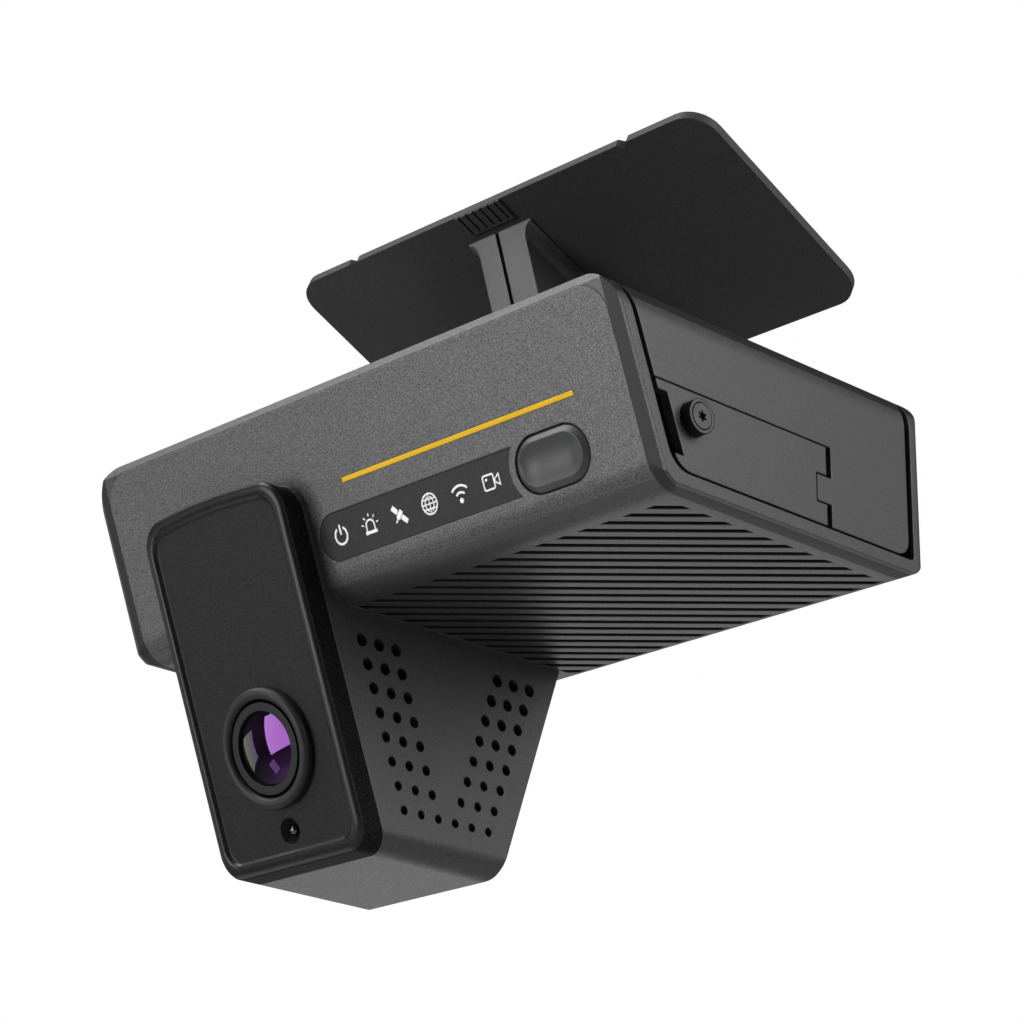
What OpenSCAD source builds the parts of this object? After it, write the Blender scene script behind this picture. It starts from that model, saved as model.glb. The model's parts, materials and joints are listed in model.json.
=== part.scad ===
// In-vehicle dash camera: a wide box body that tilts on a windscreen bracket, with a camera pod for
// the cabin hanging below it. Millimetres, +Z up.
// Origin: centre of the adhesive pad's outer face, which is stuck to the windscreen.
// +X runs to the right along the front, +Y points at the windscreen.
// The sub-parts are drawn in the body's own coordinates: x = 0 is the middle of its width, y = 0 the
// plane of its front top edge, z = 0 its underside. placed() moves each of them to the origin above.

/* [Main body] */
// Width of the main body
body_w = 120; // [100:1:150]
// Depth of the main body, front top edge to rear wall
body_d = 69.4; // [60:0.2:90]
// Height of the main body
body_h = 30.6; // [28:0.2:40]
// How far the front's bottom edge stands behind its top edge
front_setback = 11.7; // [6:0.1:14]
// Radius of the long top edges at the two ends
end_r = 6.4; // [3:0.1:8]
// Radius between the front face and the underside
front_bottom_r = 6; // [3:0.5:8]
// Radius between the underside and the rear wall
rear_bottom_r = 4.2; // [2:0.1:6]
// Radius between the top and the rear wall
rear_top_r = 2.6; // [1:0.1:4]
// Radius of the upright rear edges
rear_edge_r = 1.3; // [0.5:0.1:4]
// Height of the bevel along the top of the front face
top_bevel = 1.5; // [0.5:0.1:2]
// Width of the bevelled band at each end of the front and the underside
band_w = 2.7; // [1:0.1:4]
// Depth of that band at the outer end
band_drop = 0.5; // [0.2:0.1:1]

/* [Parting lines] */
// Width of the parting line behind the front face
front_gap = 1.0; // [0.5:0.1:1.5]
// Width of the parting line above the underside
floor_gap = 0.35; // [0.2:0.05:1]
// Width of the parting line in front of the rear wall
rear_gap = 1.2; // [0.5:0.1:2]

/* [Vents] */
// Number of diagonal slots in the underside
vent_count = 25; // [10:1:40]
// Distance between slots, measured along the front
vent_pitch = 4.55; // [3:0.05:8]
// Width of a slot
vent_w = 1.4; // [0.8:0.05:2]

/* [Front face] */
// Length of the accent line
line_len = 50; // [20:1:80]
// Height of the accent line
line_h = 0.8; // [0.5:0.05:3]
// Distance between the status symbols
symbol_pitch = 6.66; // [5:0.01:9]
// Length of the button's opening
button_w = 15; // [10:0.1:20]
// Height of the button's opening
button_h = 9.1; // [6:0.1:12]
// How far the button travels
button_travel = 0.8; // [0.3:0.1:1]

/* [Pod] */
// Width of the pod
pod_w = 34; // [30:1:45]
// How far the pod hangs below the body
pod_drop = 38; // [30:1:50]
// Middle of the pod across the body
pod_x = -29; // [-38:1:0]
// Radius of the pod's lower side edges
pod_r = 4; // [2:0.5:6]
// How far the black front panel stands out of its seat
panel_t = 4.2; // [3:0.1:6]
// Radius of the cabin lens glass
lens_r = 6; // [4:0.1:7]

/* [Bracket] */
// Width of the windscreen plate
plate_w = 95.4; // [80:0.1:120]
// Depth of the windscreen plate along its slope
plate_d = 44; // [36:0.5:70]
// Thickness of the windscreen plate
plate_t = 1.6; // [1.2:0.1:4]
// Slope of the windscreen plate
plate_tilt = 25; // [20:0.1:45]
// Thickness of the adhesive pad
pad_t = 0.9; // [0.5:0.1:2]
// Radius of the pivot screw's shank
pivot_r = 2; // [1.5:0.1:3]

/* [Service door] */
// Height of the door's top edge
door_top = 15.4; // [12:0.1:20]
// Thickness of the door
door_t = 1.6; // [1.2:0.1:2.5]

/* [Hidden] */
$fn = 48;
half_w = body_w / 2;
face_tilt = atan(front_setback / body_h);
face_cos = cos(face_tilt);
fascia_t = 1;
fascia_high = 1.6;
fascia_low = 31.4;
fascia_r = 5;
front_wall = 2.1;
floor_t = 2.5;
rear_wall = 2.4;
side_wall = 1.8;
top_wall = 2;
skin_front = front_wall + front_gap * face_cos;
skin_rear = body_d - rear_wall - rear_gap;
skin_floor = floor_t + floor_gap;
pod_left = pod_x - pod_w / 2;
pod_right = pod_x + pod_w / 2;
pod_wall = 1.8;
pod_rear_y = 62.8;
pod_rear_lean = 0.348;
seat_n = 1;
panel_top_s = 11.3;
panel_recess = 0.6;
panel_rim = 2;
panel_n = seat_n + panel_t;
recess_n = panel_n - panel_recess;
skin_n = recess_n - 1.2;
lens_x = pod_x + 0.5;
lens_s = 52.6;
barrel_r = lens_r + 1.4;
sensor_s = 66.1;
line_s = 15.85;
window_left = -10.9;
window_top = 20.1;
window_h = 7.7;
symbol_x = -6.05;
symbol_s = 24;
button_x = 40.05;
button_s = 23.95;
button_gap = 0.25;
button_rim = 0.95;
plunger_n = -2.7;
board_z = 9;
board_t = 1.6;
board_top = board_z + board_t;
pivot_y = 52;
pivot_z = 38;
knuckle_r = 5;
ear_r = 5.5;
arm_left = -6.2;
arm_right = 4.7;
slot_left = -1.7;
slot_right = -1;
arm_tilt = 18.3;
arm_front_s = 5.7;
arm_depth_s = 24;
plate_screw_s = [20.5, 27];
ear_gap = 0.3;
ear_w = 5.1;
plate_x = 0.9;
plate_y = 32.3;
plate_z = 72.3;
plate_corner = 5.2;
notch_x = 0.2;
notch_spacing = 63.8;
door_front_n = skin_front + 0.1;
door_rear = 46.6;
hinge_x = 59.1;
hinge_y = 46;
hinge_r = 0.5;
tongue_y = 44.5;
tongue_low = 6.4;
tongue_high = 10.6;
slot_rear = door_rear + 1.1;
door_screw_y = 16.8;
door_screw_z = 11.1;
boss_r = 2.65;
boss_h = 2;
road_z = 18.2;
post_x = 6.8;
post_y = 7.2;
door_gap = 0.25;
running_fit = 0.05;
rail_x = [-49, 48];
rail_y = [20, 50];

// ---- 2-D outlines ----

function unit(v) = v / norm(v);

// Points of an arc of radius r about c, from angle a0 to angle a1
function arc(c, r, a0, a1, steps = 8) =
    [for (i = [0 : steps]) c + r * [cos(a0 + (a1 - a0) * i / steps), sin(a0 + (a1 - a0) * i / steps)]];

// The corner at b, between a and c, rounded to radius r
function rounded_corner(a, b, c, r, steps) =
    let (
        u = unit(a - b),
        v = unit(c - b),
        half = acos(u * v) / 2,
        centre = b + unit(u + v) * r / sin(half),
        p = b + u * r / tan(half) - centre,
        q = b + v * r / tan(half) - centre,
        a0 = atan2(p.y, p.x),
        turn = atan2(q.y, q.x) - a0,
        sweep = turn > 180 ? turn - 360 : turn < -180 ? turn + 360 : turn
    )
    arc(centre, r, a0, a0 + sweep, steps);

// A polygon's points with each corner rounded to its radius; a radius of 0 keeps the corner
function rounded(points, radii, steps = 8) =
    let (n = len(points))
    [for (i = [0 : n - 1])
        each radii[i] == 0 ? [points[i]]
            : rounded_corner(points[(i + n - 1) % n], points[i], points[(i + 1) % n], radii[i], steps)];

// A rectangle w by h about the origin, with corners of radius r
function rounded_rect(w, h, r, steps = 8) =
    rounded([[-w, -h] / 2, [w, -h] / 2, [w, h] / 2, [-w, h] / 2], [r, r, r, r], steps);

// A slot w long and h high with round ends, about the origin
function obround(w, h) =
    concat(arc([w / 2 - h / 2, 0], h / 2, -90, 90, 16), arc([h / 2 - w / 2, 0], h / 2, 90, 270, 16));

// ---- Placement ----

// Extrudes a Y-Z outline along X from x0 to x1
module along_x(x0, x1) {
    translate([x0, 0, 0]) rotate([90, 0, 90]) linear_extrude(x1 - x0) children();
}

// Extrudes an X-Z outline along Y from y0 to y1
module along_y(y0, y1) {
    translate([0, y1, 0]) rotate([90, 0, 0]) linear_extrude(y1 - y0) children();
}

// Puts a piece on the front face: x across it, s down its slope from the top edge, n out of it
module on_face(x = 0, s = 0, n = 0) {
    translate([0, 0, body_h]) rotate([90 + face_tilt, 0, 0]) translate([x, -s, n]) children();
}

// Puts a piece in the windscreen plate's frame: y down its slope from the near edge, z out of its
// upper face
module on_plate() {
    translate([0, plate_y, plate_z]) rotate([-plate_tilt, 0, 0]) children();
}

// Moves a piece from the body's coordinates to the part's, whose origin is on the adhesive pad
module placed() {
    sine = sin(plate_tilt);
    cosine = cos(plate_tilt);
    middle = plate_d / 2;
    translate([
        -plate_x,
        -plate_y - middle * cosine - pad_t * sine,
        -plate_z + middle * sine - pad_t * cosine
    ]) children();
}

module box(low, high) {
    translate(low) cube(high - low);
}

// Y of the front face at height z, for a plane set n out of the face
function face_y(z, n = 0) = front_setback * (1 - z / body_h) - n / face_cos;

// A point of the plate's underside in Y-Z, s down its slope
function under_plate(s) = [plate_y + s * cos(plate_tilt) - plate_t * sin(plate_tilt),
    plate_z - s * sin(plate_tilt) - plate_t * cos(plate_tilt)];

// Everything behind the plane set n out of the front face
module behind_face(n) {
    low = -pod_drop - 10;
    high = body_h + 20;
    far = 200;
    along_x(-body_w, body_w)
        polygon([[face_y(low, n), low], [far, low], [far, high], [face_y(high, n), high]]);
}

// ---- Bracket ----

module plate_outline() {
    notch = [[-1.25, -0.15], [1.25, -0.15], [0, 0.95]];
    difference() {
        translate([plate_x, plate_d / 2]) polygon(rounded_rect(plate_w, plate_d, plate_corner));
        for (side = [-1, 1]) translate([notch_x + side * notch_spacing / 2, 0]) polygon(notch);
    }
}

module windscreen_plate() {
    grip_x = (arm_left + arm_right) / 2;
    grip_w = 10.4;
    groove_pitch = 1.7;
    color("#26272a") placed() on_plate() difference() {
        union() {
            translate([0, 0, -plate_t]) linear_extrude(plate_t) plate_outline();
            translate([grip_x - grip_w / 2, 0.05, -plate_t - 0.45]) cube([grip_w, 4.4, 0.6]);
        }
        for (i = [-2.5 : 2.5])
            translate([grip_x + i * groove_pitch - 0.2, -0.5, -plate_t - 0.6]) cube([0.4, 4.6, 0.4]);
        for (y = plate_screw_s) {
            translate([grip_x, y, -plate_t - 1]) cylinder(r = 1.6, h = plate_t + 2);
            translate([grip_x, y, -1.3]) cylinder(r1 = 1.6, r2 = 3.1, h = 1.31);
        }
    }
}

module adhesive_pad() {
    color("#3a3a3c") placed() on_plate() translate([plate_x, plate_d / 2, 0]) linear_extrude(pad_t)
        polygon(rounded_rect(plate_w - 6, plate_d - 5, 4));
}

module arm_outline() {
    hull() {
        translate([pivot_y, pivot_z]) circle(r = knuckle_r);
        polygon([under_plate(arm_front_s), under_plate(arm_front_s + arm_depth_s),
            under_plate(arm_front_s + arm_depth_s) - [0, 1]]);
    }
}

// The arm seen along the plate's slope: straight sides, spreading in a curve under the plate
module arm_section() {
    r = 1.9;
    edge = -plate_t - 0.3;
    low = -60;
    polygon(concat([[arm_left - r, 1], [arm_left - r, edge]], arc([arm_left - r, edge - r], r, 90, 0),
        [[arm_left, low], [arm_right, low]], arc([arm_right + r, edge - r], r, 180, 90),
        [[arm_right + r, edge], [arm_right + r, 1]]));
}

module bracket_arm() {
    top = under_plate(arm_front_s);
    down = [sin(arm_tilt), -cos(arm_tilt)];
    inward = [cos(arm_tilt), sin(arm_tilt)];
    slot_depth = 11.5;
    arm_x = (arm_left + arm_right) / 2;
    color("#6f7073") placed() difference() {
        intersection() {
            along_x(arm_left - 5, arm_right + 5) arm_outline();
            on_plate() along_y(-20, plate_d + 20) arm_section();
        }
        along_x(slot_left, slot_right)
            polygon([top - 3 * down - inward, top - 3 * down + slot_depth * inward,
                top + 42 * down + slot_depth * inward, top + 42 * down - inward]);
        translate([arm_left - 5, pivot_y, pivot_z]) rotate([0, 90, 0])
            cylinder(r = pivot_r + running_fit, h = 25);
        on_plate() for (y = plate_screw_s)
            translate([arm_x, y, -plate_t - 9]) cylinder(r = 1.55, h = 12);
    }
}

module arm_screws() {
    arm_x = (arm_left + arm_right) / 2;
    color("#8c8e91") placed() on_plate() for (y = plate_screw_s) translate([arm_x, y, 0])
        difference() {
            union() {
                translate([0, 0, -plate_t - 8]) cylinder(r = 1.5, h = plate_t + 7);
                translate([0, 0, -1.25]) cylinder(r1 = 1.5, r2 = 2.9, h = 1.2);
            }
            translate([0, 0, -0.9]) cylinder(r = 0.9, h = 1, $fn = 6);
        }
}

module pivot_screw() {
    left = arm_left - ear_gap - ear_w;
    right = arm_right + ear_gap + ear_w;
    color("#3c3d40") placed() translate([0, pivot_y, pivot_z]) rotate([0, 90, 0]) difference() {
        union() {
            translate([0, 0, left - 3]) cylinder(r = 4, h = 3);
            translate([0, 0, left - 0.1]) cylinder(r = pivot_r, h = right - left + 4.5);
        }
        translate([0, 0, left - 3.1]) cylinder(r = 1.75, h = 2.1, $fn = 6);
    }
}

module pivot_nut() {
    right = arm_right + ear_gap + ear_w;
    color("#8c8e91") placed() translate([right, pivot_y, pivot_z]) rotate([0, 90, 0]) difference() {
        cylinder(r = 4, h = 3.2, $fn = 6);
        translate([0, 0, -1]) cylinder(r = pivot_r, h = 6);
    }
}

// ---- Housings ----

// The body's outline seen from its side
function side_outline() = rounded([[front_setback, 0], [body_d, 0], [body_d, body_h], [0, body_h]],
    [front_bottom_r, rear_bottom_r, rear_top_r, 0]);

// The body's outline seen from its front: round top corners, shallow bevels at the lower ones
function end_outline(inset) = concat(
    [[-half_w + inset, band_drop], [-half_w + band_w, inset]],
    [[half_w - band_w, inset], [half_w - inset, band_drop]],
    arc([half_w - end_r, body_h - end_r], end_r - inset, 0, 90, 12),
    arc([end_r - half_w, body_h - end_r], end_r - inset, 90, 180, 12));

// The outer block of the body, before it is hollowed
module body_block() {
    face_band = [[half_w - band_w, 0], [half_w + 1, -band_drop * (1 + 1 / band_w)], [half_w + 1, 2],
        [half_w - band_w, 2]];
    // A steeper plane than the face's, passing through it top_bevel below the top
    steep = (0.55 * top_bevel - face_y(body_h - top_bevel)) / top_bevel;
    function bevel_y(z) = 0.55 * top_bevel + steep * (z - body_h);
    bevel = [[-4, body_h - 4], [bevel_y(body_h - 4), body_h - 4], [bevel_y(body_h + 2), body_h + 2],
        [-4, body_h + 2]];
    difference() {
        intersection() {
            along_x(-half_w, half_w) polygon(side_outline());
            along_y(-5, body_d + 5) polygon(end_outline(0));
            translate([0, 0, -1]) linear_extrude(body_h + 2)
                polygon(rounded([[-half_w, -5], [half_w, -5], [half_w, body_d], [-half_w, body_d]],
                    [0, 0, rear_edge_r, rear_edge_r]));
        }
        on_face(0, -10) for (side = [0, 1]) mirror([side, 0, 0]) rotate([90, 0, 0]) linear_extrude(60)
            polygon(face_band);
        along_x(-half_w - 1, half_w + 1) polygon(bevel);
    }
}

// The space between the front wall, the floor and the rear wall
module body_hollow() {
    rear = body_d - rear_wall;
    top = body_h + 9;
    along_x(-half_w - 1, half_w + 1)
        polygon(rounded([[face_y(floor_t, -front_wall), floor_t], [rear, floor_t], [rear, top],
            [face_y(top, -front_wall), top]], [4.6, 0.8, 0, 0]));
}

// The pod's outline seen from the front, inset all round
function pod_outline(inset, top) =
    let (
        left = pod_left + inset,
        right = pod_right - inset,
        low = inset - pod_drop,
        r = pod_r - inset / 2
    )
    rounded([[left, low], [right, low], [right, top], [left, top]], [r, r, 0, 0]);

// The pod between its front plane, its leaning rear wall and its flat bottom
module pod_block(inset, front_n, top) {
    low = inset - pod_drop;
    rear = pod_rear_y - inset * 1.06;
    intersection() {
        along_y(-20, body_d) polygon(pod_outline(inset, top));
        along_x(pod_left, pod_right)
            polygon(rounded([[face_y(low, front_n), low], [rear + pod_rear_lean * low, low],
                [rear + pod_rear_lean * top, top], [face_y(top, front_n), top]], [0, 1.2, 0, 0]));
    }
}

// The outline shared by the black panel and its seat, inset all round: tall, with a slightly arched top
function panel_outline(inset) =
    let (
        top = body_h - panel_n * sin(face_tilt) - panel_top_s * face_cos - inset,
        side = pod_w / 2 - inset,
        r = pod_r - inset / 2
    )
    [for (p = rounded([[-side, inset - pod_drop], [side, inset - pod_drop], [side, top - 0.5], [0, top],
        [-side, top - 0.5]], [r, r, r, 60, r])) p + [pod_x, 0]];

// The panel's outline between two planes parallel to the front face
module panel_slab(inset, n0, n1) {
    difference() {
        intersection() {
            along_y(-30, 45) polygon(panel_outline(inset));
            behind_face(n1);
        }
        behind_face(n0);
    }
}

module vent_slots() {
    first = -34.4;
    half = vent_w / 2 * sqrt(2);
    low = [pod_right + 0.4, 17];
    high = [55.2, body_d - rear_bottom_r + 0.4];
    translate([0, 0, -1]) linear_extrude(floor_t + 2) intersection() {
        translate(low) square(high - low);
        for (i = [0 : vent_count - 1]) {
            c = first + i * vent_pitch;
            polygon([[-60, c - 60 - half], [70, c + 70 - half], [70, c + 70 + half],
                [-60, c - 60 + half]]);
        }
    }
}

// Sound holes in a U: two leaning groups of three columns, joined by a row below them
module sound_holes() {
    row = 3.68;
    module hole(y, i) {
        translate([pod_right - 4, y, -5 - i * row]) rotate([0, 90, 0])
            cylinder(r = 1.05 - 0.047 * i, h = 8, $fn = 20);
    }
    for (i = [0 : 6], j = [0 : 2]) {
        hole(18.65 + 3.65 * j + 1.4 * i, i);
        hole(48.4 + 3.68 * j - 1.29 * i, i);
    }
    for (j = [0 : 5]) hole(28.4 + 3.67 * j, 7);
}

// Ledges behind the parting lines, so that no gap looks into the inside
module parting_ledges() {
    box([-50, 2.9, 27], [50, 6.2, 28.3]);
    box([-47, 63.5, 27], [47, body_d - 1, 28.3]);
    for (side = [-1, 1]) {
        x0 = side > 0 ? half_w - 5.1 : -half_w + 2;
        box([x0, 16, 1.2], [x0 + 1.1, side > 0 ? 40 : 55, 4.3]);
        on_face(x0, 27, -4.4) cube([1.1, 18, 3]);
    }
}

// The front, the floor, the rear wall and the pod, with nothing inside and no openings
module lower_shell() {
    difference() {
        union() {
            body_block();
            pod_block(0, seat_n, 1.5);
            intersection() {
                panel_slab(0, -1.6, seat_n);
                box([-half_w, -30, -5], [half_w, 60, 40]);
            }
        }
        body_hollow();
        pod_block(pod_wall, -front_wall, 3);
        fascia_pocket();
    }
}

module lower_housing() {
    color("#56575a") placed() difference() {
        union() {
            lower_shell();
            parting_ledges();
            for (x = rail_x, y = rail_y) translate([x, y, 1]) cylinder(r = 2.6, h = board_z - 1);
            for (x = [-13, 47]) on_face(x, 18.6, -4.4) cylinder(r = 1.5, h = 3);
            for (x = [-post_x, post_x], y = [-post_y, post_y]) on_face(lens_x + x, lens_s + y, -9)
                cylinder(r = 1.4, h = 8);
            door_screw_post();
        }
        on_face(lens_x, lens_s, -4) cylinder(r = barrel_r + 0.5, h = 8);
        vent_slots();
        sound_holes();
        for (i = [0 : 5]) on_face(symbol_x + i * symbol_pitch, symbol_s, -4) cylinder(r = 1.7, h = 5);
        on_face(button_x, button_s, -3) linear_extrude(4) button_outline(1);
        for (x = rail_x, y = rail_y) translate([x, y, 4.5]) cylinder(r = 1.25, h = board_z);
        translate([50, door_screw_y, door_screw_z]) rotate([0, 90, 0]) cylinder(r = 1.35, h = 10);
        hinge_hole(floor_t - 1.4, floor_t + 0.1);
        rear_openings();
    }
}

// The post behind the service door that takes its screw
module door_screw_post() {
    box([half_w - 5, door_screw_y - 2.7, 1.2], [half_w - 2.2, door_screw_y + 2.7, door_screw_z + 2.9]);
}

// The fascia's outline on the front face, with round top corners
module fascia_outline() {
    half = half_w - band_w;
    polygon(rounded([[-half, -fascia_low], [half, -fascia_low], [half, -fascia_high],
        [-half, -fascia_high]], [0, 0, fascia_r, fascia_r]));
}

// Where the speckled fascia sits: all of the front between the end bands, under the top bevel
module fascia_pocket() {
    difference() {
        on_face(0, 0, -fascia_t) linear_extrude(fascia_t + 0.01) fascia_outline();
        panel_slab(0, -2, seat_n);
    }
}

module rear_openings() {
    y0 = body_d - rear_wall - 1;
    translate([0, y0, road_z]) rotate([-90, 0, 0]) cylinder(r = barrel_r + 0.3, h = 6);
    box([-46.3, y0, board_top - 0.3], [-33.7, body_d + 1, board_top + 8.3]);
    for (p = case_screw_spots()) translate([p.x, y0, p.y]) rotate([-90, 0, 0]) {
        cylinder(r = 1.4, h = 6);
        translate([0, 0, 2]) cylinder(r = 2.5, h = 3);
    }
}

function case_screw_spots() = [[-52.5, 24], [52.5, 24], [-53.5, 6.6], [53.5, 6.6]];

module upper_skin() {
    intersection() {
        difference() {
            along_y(-2, body_d) polygon(end_outline(0));
            along_y(-3, body_d + 1)
                polygon(concat([[-half_w + side_wall, -1], [half_w - side_wall, -1]],
                    arc([half_w - end_r, body_h - end_r], end_r - side_wall, 0, 90, 12),
                    arc([end_r - half_w, body_h - end_r], end_r - side_wall, 90, 180, 12)));
        }
        along_x(-half_w - 1, half_w + 1)
            polygon(rounded([[face_y(skin_floor, -skin_front), skin_floor], [skin_rear, skin_floor],
                [skin_rear, body_h + 1], [face_y(body_h + 1, -skin_front), body_h + 1]],
                [4, 2.6, 0, 0]));
    }
}

module hinge_ear(x) {
    along_x(x, x + ear_w) hull() {
        translate([pivot_y, pivot_z]) circle(r = ear_r);
        translate([pivot_y - 9, body_h - 1]) square([18, 1]);
    }
}

module upper_housing() {
    hole_top = door_top + door_gap;
    door_hole = [[0, 0], [slot_rear, 0], [slot_rear, tongue_low], [tongue_y, tongue_low],
        [tongue_y, tongue_high], [slot_rear, tongue_high], [slot_rear, hole_top], [0, hole_top]];
    color("#4d4e51") placed() difference() {
        union() {
            upper_skin();
            hinge_ear(arm_left - ear_gap - ear_w);
            hinge_ear(arm_right + ear_gap);
            for (p = case_screw_spots()) {
                out = p.x > 0 ? half_w - side_wall + 0.2 : -half_w + side_wall - 0.2;
                inner = p.x > 0 ? p.x - 3.2 : p.x + 3.2;
                low = p.y > 15 ? 20.8 : 4.1;
                high = p.y > 15 ? 27.2 : 8.7;
                box([min(out, inner), 57, low], [max(out, inner), body_d - rear_wall, high]);
            }
        }
        along_x(half_w - 5, half_w + 1) polygon(door_hole);
        hinge_hole(door_top + 0.1, door_top + 1.6);
        translate([-20, pivot_y, pivot_z]) rotate([0, 90, 0])
            cylinder(r = pivot_r + running_fit, h = 40);
        for (p = case_screw_spots())
            translate([p.x, 59, p.y]) rotate([-90, 0, 0]) cylinder(r = 1.3, h = 9);
    }
}

module case_screws() {
    color("#2e2f31") placed() for (p = case_screw_spots())
        translate([p.x, 0, p.y]) rotate([-90, 0, 0]) difference() {
            union() {
                translate([0, 0, 60]) cylinder(r = 1.25, h = 9);
                translate([0, 0, body_d - 1.35]) cylinder(r = 2.3, h = 1.3);
            }
            translate([0, 0, body_d - 0.9]) cylinder(r = 0.75, h = 1, $fn = 6);
        }
}

// ---- Front face ----

module window_outline() {
    intersection() {
        polygon(rounded([[window_left, -window_top - window_h], [button_x, -window_top - window_h],
            [button_x, -window_top], [window_left, -window_top]], [3.8, 0, 0, 3.8]));
        difference() {
            translate([-50, -50]) square([50 + button_x, 60]);
            translate([button_x, -button_s]) button_outline(1.3);
        }
    }
}

module line_outline() {
    translate([-2.9, -line_s - line_h / 2]) square([line_len, line_h]);
}

module front_fascia() {
    color("#6b6d70") placed() difference() {
        intersection() {
            body_block();
            on_face(0, 0, -fascia_t) linear_extrude(fascia_t) difference() {
                fascia_outline();
                window_outline();
                line_outline();
                translate([button_x, -button_s]) button_outline(0);
            }
        }
        panel_slab(0, -2, seat_n);
    }
}

module accent_line() {
    color("#f2b619") placed() on_face(0, 0, -fascia_t) linear_extrude(fascia_t + 0.05) line_outline();
}

module status_window() {
    color("#2f3032") placed() on_face(0, 0, -fascia_t) linear_extrude(fascia_t - 0.1) window_outline();
}

// An arc of line width w, as a flat ring sector
module arc_line(r, w, a0, a1) {
    polygon(concat(arc([0, 0], r + w / 2, a0, a1, 10), arc([0, 0], r - w / 2, a1, a0, 10)));
}

module power_symbol() {
    arc_line(1.35, 0.4, 120, 420);
    translate([-0.2, 0.15]) square([0.4, 1.6]);
}

module beacon_symbol() {
    arc_line(0.9, 0.3, 0, 180);
    for (x = [-0.9, 0.9]) translate([x - 0.15, -0.85]) square([0.3, 0.9]);
    translate([-1.3, -1.3]) square([2.6, 0.5]);
    for (a = [10, 50, 90, 130, 170]) rotate(a) translate([1.4, -0.13]) square([0.5, 0.26]);
}

module satellite_symbol() {
    rotate(-45) {
        translate([-0.4, -0.75]) square([0.8, 1.5]);
        for (x = [-1.95, 0.55]) translate([x, -0.42]) square([1.4, 0.84]);
        translate([-0.6, -0.1]) square([1.2, 0.2]);
        translate([-0.14, -1.5]) square([0.28, 0.8]);
    }
}

module globe_symbol() {
    arc_line(1.6, 0.28, 0, 180);
    arc_line(1.6, 0.28, 180, 360);
    for (y = [-0.75, 0, 0.75]) translate([-1.5, y - 0.11]) square([3, 0.22]);
    translate([-0.11, -1.6]) square([0.22, 3.2]);
    for (side = [-1, 1]) {
        middle = 90 - side * 90;
        translate([side * -0.5, 0]) arc_line(1.4, 0.22, middle - 55, middle + 55);
    }
}

module wireless_symbol() {
    translate([0, -1.2]) {
        circle(r = 0.42, $fn = 24);
        for (r = [1.25, 2.3]) arc_line(r, 0.38, 45, 135);
    }
}

module camcorder_symbol() {
    difference() {
        translate([-0.5, 0]) polygon(rounded_rect(2.5, 2.5, 0.45));
        translate([-0.5, 0]) polygon(rounded_rect(1.9, 1.9, 0.2));
    }
    difference() {
        polygon([[0.7, 0.3], [1.85, 1.05], [1.85, -1.05], [0.7, -0.3]]);
        polygon([[0.9, 0.15], [1.6, 0.6], [1.6, -0.6], [0.9, -0.15]]);
    }
    translate([-1.15, 0.25]) square([0.45, 0.4]);
}

module status_symbols() {
    module place(i) {
        on_face(symbol_x + i * symbol_pitch, symbol_s, -0.1) linear_extrude(0.1) children();
    }
    color("#f2f2f2") placed() {
        place(0) power_symbol();
        place(1) beacon_symbol();
        place(2) satellite_symbol();
        place(3) globe_symbol();
        place(4) wireless_symbol();
        place(5) camcorder_symbol();
    }
}

// An obround that is grow larger than the button's opening all round
module button_outline(grow) {
    polygon(obround(button_w + 2 * grow, button_h + 2 * grow));
}

// The dish in the button's cap, n out of the face: a long ball that meets it just inside the cap's rim
module button_dish(n) {
    ball_r = 7.5;
    edge = button_h / 2 - button_gap - button_rim - 0.1;
    reach = (button_w - button_h) / 2;
    translate([0, 0, n + sqrt(ball_r * ball_r - edge * edge)]) {
        for (x = [-reach, reach]) translate([x, 0, 0]) sphere(r = ball_r, $fn = 96);
        translate([-reach, 0, 0]) rotate([0, 90, 0]) cylinder(r = ball_r, h = 2 * reach, $fn = 96);
    }
}

// The cap has a sloping rim round a dished face, and a flange behind the fascia keeps it in
module push_button() {
    rim_n = 0.5;
    color("#5a5b5e") placed() on_face(button_x, button_s) difference() {
        union() {
            translate([0, 0, -1.9]) linear_extrude(1.7) button_outline(-button_gap);
            hull() {
                translate([0, 0, -0.3]) linear_extrude(0.1) button_outline(-button_gap);
                translate([0, 0, 0.1]) linear_extrude(rim_n - 0.1)
                    button_outline(-button_gap - button_rim);
            }
            translate([0, 0, -1.9]) linear_extrude(0.6) button_outline(0.6);
            translate([0, 0, plunger_n]) cylinder(r = 1.5, h = 1);
        }
        button_dish(rim_n);
    }
}

module tactile_switch() {
    color("#1b1b1c") placed() on_face(button_x, button_s, plunger_n - button_travel - 0.9) {
        translate([-3, -1.75, 0]) cube([6, 3.5, 0.55]);
        translate([0, 0, 0.5]) cylinder(r = 0.9, h = 0.3);
    }
}

module control_board() {
    color("#1f6b3a") placed() on_face(0, 30, -5.6) difference() {
        translate([-15, 0, 0]) cube([64.5, 13, 1.2]);
        for (x = [-13, 47]) translate([x, 11.4, -1]) cylinder(r = 0.8, h = 4);
    }
}

module status_leds() {
    color("#f4f1dc") placed() for (i = [0 : 5]) on_face(symbol_x + i * symbol_pitch, symbol_s, -4.4)
        translate([-0.8, -0.4, 0]) cube([1.6, 0.8, 0.6]);
}

// ---- Pod ----

module pod_front_panel() {
    color("#151617") placed() difference() {
        panel_slab(0, seat_n, panel_n);
        panel_slab(panel_rim, recess_n, panel_n + 1);
        panel_slab(panel_rim, seat_n - 1, skin_n);
        on_face(lens_x, lens_s) cylinder(r = barrel_r + 0.5, h = 12);
        on_face(lens_x - 0.1, sensor_s, skin_n - 1) cylinder(r = 1.1, h = 4);
        on_face(lens_x - 0.1, sensor_s, skin_n + 0.1) cylinder(r1 = 1.1, r2 = 2.2, h = 1.11);
    }
}

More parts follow.
